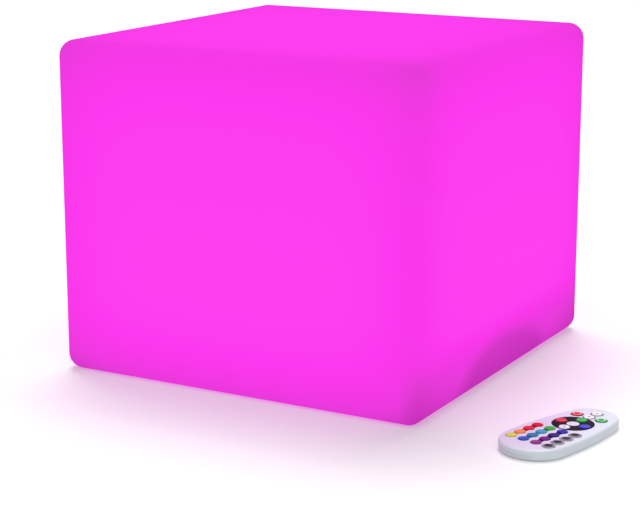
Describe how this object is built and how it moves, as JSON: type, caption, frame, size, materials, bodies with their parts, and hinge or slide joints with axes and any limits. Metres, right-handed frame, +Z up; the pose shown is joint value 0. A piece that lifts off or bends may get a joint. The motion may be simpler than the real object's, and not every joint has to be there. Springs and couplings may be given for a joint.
{
  "type": "led cube light",
  "caption": "Cube-shaped garden light with a hollow glowing shell, a sealed rechargeable light engine in its base well, and a hand remote with a key pad and a coin-cell drawer.",
  "frame": {"origin": "middle of the shell's base, on the surface that the light stands on", "axes": "+Z up; +X and +Y square to the cube's sides; the remote lies on the same surface beyond the +X side"},
  "size_m": [0.4264, 0.3226, 0.255],
  "materials": {
    "polyethylene_shell": "satin, lit from inside",
    "brass": "turned",
    "silicone_seal": "matt",
    "abs_engine": "fine moulded texture",
    "steel_screws": "zinc plated",
    "circuit_board": "solder mask over fibreglass",
    "board_parts": "moulded packages",
    "switch_plastic": "moulded",
    "abs_button": "satin",
    "socket_plastic": "moulded",
    "clear_lens": "clear acrylic",
    "abs_cradle": "moulded",
    "cell_wrap": "shrink sleeve",
    "lead_insulation": "flat PVC lead",
    "led_board": "white mask over aluminium",
    "led_package": "white package, yellow fill",
    "frosted_cover": "frosted polycarbonate",
    "abs_remote": "satin",
    "silicone_mat": "matt",
    "smoked_lens": "dark infrared epoxy",
    "contact_metal": "plated spring strip",
    "abs_drawer": "satin",
    "coin_steel": "nickel plated",
    "silicone_pale_key": "satin silicone",
    "silicone_key_power_off": "satin silicone",
    "silicone_key_power_on": "satin silicone",
    "silicone_key_red": "satin silicone",
    "silicone_key_green": "satin silicone",
    "silicone_key_blue": "satin silicone",
    "silicone_key_colour_01": "satin silicone",
    "silicone_key_colour_02": "satin silicone",
    "silicone_key_colour_03": "satin silicone",
    "silicone_key_colour_04": "satin silicone",
    "silicone_key_colour_05": "satin silicone",
    "silicone_key_colour_06": "satin silicone",
    "silicone_key_colour_07": "satin silicone",
    "silicone_key_colour_08": "satin silicone",
    "silicone_key_colour_09": "satin silicone",
    "silicone_key_colour_10": "satin silicone",
    "silicone_key_colour_11": "satin silicone",
    "silicone_key_colour_12": "satin silicone",
    "silicone_mode_key": "satin silicone"
  },
  "bodies": {
    "light": {"cube_shell": "polyethylene_shell", "threaded_inserts": "brass", "base_gasket": "silicone_seal", "engine_housing": "abs_engine", "engine_screws": "steel_screws", "driver_board": "circuit_board", "driver_parts": "board_parts", "board_screws": "steel_screws", "tact_switch": "switch_plastic", "button_seal": "silicone_seal", "charging_socket": "socket_plastic", "port_cover_anchor": "silicone_seal", "status_lens": "clear_lens", "battery_cradle": "abs_cradle", "battery_cells": "cell_wrap", "battery_lead": "lead_insulation", "led_lead": "lead_insulation", "led_board": "led_board", "led_chips": "led_package", "led_board_screws": "steel_screws", "ir_receiver": "smoked_lens", "led_dome": "frosted_cover"},
    "button": {"power_button": "abs_button", "switch_plunger": "switch_plastic"},
    "flap": {"port_cover": "silicone_seal"},
    "remote": {"remote_top_case": "abs_remote", "remote_bottom_case": "abs_remote", "remote_screw": "steel_screws", "keypad_mat": "silicone_mat", "remote_board": "circuit_board", "ir_emitter": "smoked_lens", "battery_contacts": "contact_metal"},
    "drawer": {"battery_tray": "abs_drawer", "coin_cell": "coin_steel"},
    "key_brighter": {"key_brighter": "silicone_pale_key"},
    "key_dimmer": {"key_dimmer": "silicone_pale_key"},
    "key_power_off": {"key_power_off": "silicone_key_power_off"},
    "key_power_on": {"key_power_on": "silicone_key_power_on"},
    "key_blue": {"key_blue": "silicone_key_blue"},
    "key_green": {"key_green": "silicone_key_green"},
    "key_red": {"key_red": "silicone_key_red"},
    "key_white": {"key_white": "silicone_pale_key"},
    "key_colour_01": {"key_colour_01": "silicone_key_colour_01"},
    "key_colour_02": {"key_colour_02": "silicone_key_colour_02"},
    "key_colour_03": {"key_colour_03": "silicone_key_colour_03"},
    "key_colour_04": {"key_colour_04": "silicone_key_colour_04"},
    "key_colour_05": {"key_colour_05": "silicone_key_colour_05"},
    "key_colour_06": {"key_colour_06": "silicone_key_colour_06"},
    "key_colour_07": {"key_colour_07": "silicone_key_colour_07"},
    "key_colour_08": {"key_colour_08": "silicone_key_colour_08"},
    "key_colour_09": {"key_colour_09": "silicone_key_colour_09"},
    "key_colour_10": {"key_colour_10": "silicone_key_colour_10"},
    "key_colour_11": {"key_colour_11": "silicone_key_colour_11"},
    "key_colour_12": {"key_colour_12": "silicone_key_colour_12"},
    "key_mode_1": {"key_mode_1": "silicone_mode_key"},
    "key_mode_2": {"key_mode_2": "silicone_mode_key"},
    "key_mode_3": {"key_mode_3": "silicone_mode_key"},
    "key_mode_4": {"key_mode_4": "silicone_mode_key"}
  },
  "joints": [
    {"name": "button_press", "type": "slide", "parent": "light", "child": "button", "axis": [0, 0, 1], "range_m": [0, 0.0005], "stiffness_N_per_m": 2500},
    {"name": "flap_hinge", "type": "hinge", "parent": "light", "child": "flap", "pos_m": [0.0226, 0, 0.0175], "axis": [0, -1, 0], "range_deg": [0, 100]},
    {"name": "remote_lift", "type": "slide", "parent": "light", "child": "remote", "axis": [0, 0, 1], "range_m": [0, 0.15]},
    {"name": "drawer_pull", "type": "slide", "parent": "remote", "child": "drawer", "axis": [-0.2588, -0.9659, 0], "range_m": [0, 0.026]},
    {"name": "press_brighter", "type": "slide", "parent": "remote", "child": "key_brighter", "axis": [0, 0, -1], "range_m": [0, 0.0004], "stiffness_N_per_m": 2000},
    {"name": "press_dimmer", "type": "slide", "parent": "remote", "child": "key_dimmer", "axis": [0, 0, -1], "range_m": [0, 0.0004], "stiffness_N_per_m": 2000},
    {"name": "press_power_off", "type": "slide", "parent": "remote", "child": "key_power_off", "axis": [0, 0, -1], "range_m": [0, 0.0004], "stiffness_N_per_m": 2000},
    {"name": "press_power_on", "type": "slide", "parent": "remote", "child": "key_power_on", "axis": [0, 0, -1], "range_m": [0, 0.0004], "stiffness_N_per_m": 2000},
    {"name": "press_blue", "type": "slide", "parent": "remote", "child": "key_blue", "axis": [0, 0, -1], "range_m": [0, 0.0004], "stiffness_N_per_m": 2000},
    {"name": "press_green", "type": "slide", "parent": "remote", "child": "key_green", "axis": [0, 0, -1], "range_m": [0, 0.0004], "stiffness_N_per_m": 2000},
    {"name": "press_red", "type": "slide", "parent": "remote", "child": "key_red", "axis": [0, 0, -1], "range_m": [0, 0.0004], "stiffness_N_per_m": 2000},
    {"name": "press_white", "type": "slide", "parent": "remote", "child": "key_white", "axis": [0, 0, -1], "range_m": [0, 0.0004], "stiffness_N_per_m": 2000},
    {"name": "press_colour_01", "type": "slide", "parent": "remote", "child": "key_colour_01", "axis": [0, 0, -1], "range_m": [0, 0.0004], "stiffness_N_per_m": 2000},
    {"name": "press_colour_02", "type": "slide", "parent": "remote", "child": "key_colour_02", "axis": [0, 0, -1], "range_m": [0, 0.0004], "stiffness_N_per_m": 2000},
    {"name": "press_colour_03", "type": "slide", "parent": "remote", "child": "key_colour_03", "axis": [0, 0, -1], "range_m": [0, 0.0004], "stiffness_N_per_m": 2000},
    {"name": "press_colour_04", "type": "slide", "parent": "remote", "child": "key_colour_04", "axis": [0, 0, -1], "range_m": [0, 0.0004], "stiffness_N_per_m": 2000},
    {"name": "press_colour_05", "type": "slide", "parent": "remote", "child": "key_colour_05", "axis": [0, 0, -1], "range_m": [0, 0.0004], "stiffness_N_per_m": 2000},
    {"name": "press_colour_06", "type": "slide", "parent": "remote", "child": "key_colour_06", "axis": [0, 0, -1], "range_m": [0, 0.0004], "stiffness_N_per_m": 2000},
    {"name": "press_colour_07", "type": "slide", "parent": "remote", "child": "key_colour_07", "axis": [0, 0, -1], "range_m": [0, 0.0004], "stiffness_N_per_m": 2000},
    {"name": "press_colour_08", "type": "slide", "parent": "remote", "child": "key_colour_08", "axis": [0, 0, -1], "range_m": [0, 0.0004], "stiffness_N_per_m": 2000},
    {"name": "press_colour_09", "type": "slide", "parent": "remote", "child": "key_colour_09", "axis": [0, 0, -1], "range_m": [0, 0.0004], "stiffness_N_per_m": 2000},
    {"name": "press_colour_10", "type": "slide", "parent": "remote", "child": "key_colour_10", "axis": [0, 0, -1], "range_m": [0, 0.0004], "stiffness_N_per_m": 2000},
    {"name": "press_colour_11", "type": "slide", "parent": "remote", "child": "key_colour_11", "axis": [0, 0, -1], "range_m": [0, 0.0004], "stiffness_N_per_m": 2000},
    {"name": "press_colour_12", "type": "slide", "parent": "remote", "child": "key_colour_12", "axis": [0, 0, -1], "range_m": [0, 0.0004], "stiffness_N_per_m": 2000},
    {"name": "press_mode_1", "type": "slide", "parent": "remote", "child": "key_mode_1", "axis": [0, 0, -1], "range_m": [0, 0.0004], "stiffness_N_per_m": 2000},
    {"name": "press_mode_2", "type": "slide", "parent": "remote", "child": "key_mode_2", "axis": [0, 0, -1], "range_m": [0, 0.0004], "stiffness_N_per_m": 2000},
    {"name": "press_mode_3", "type": "slide", "parent": "remote", "child": "key_mode_3", "axis": [0, 0, -1], "range_m": [0, 0.0004], "stiffness_N_per_m": 2000},
    {"name": "press_mode_4", "type": "slide", "parent": "remote", "child": "key_mode_4", "axis": [0, 0, -1], "range_m": [0, 0.0004], "stiffness_N_per_m": 2000}
  ]
}
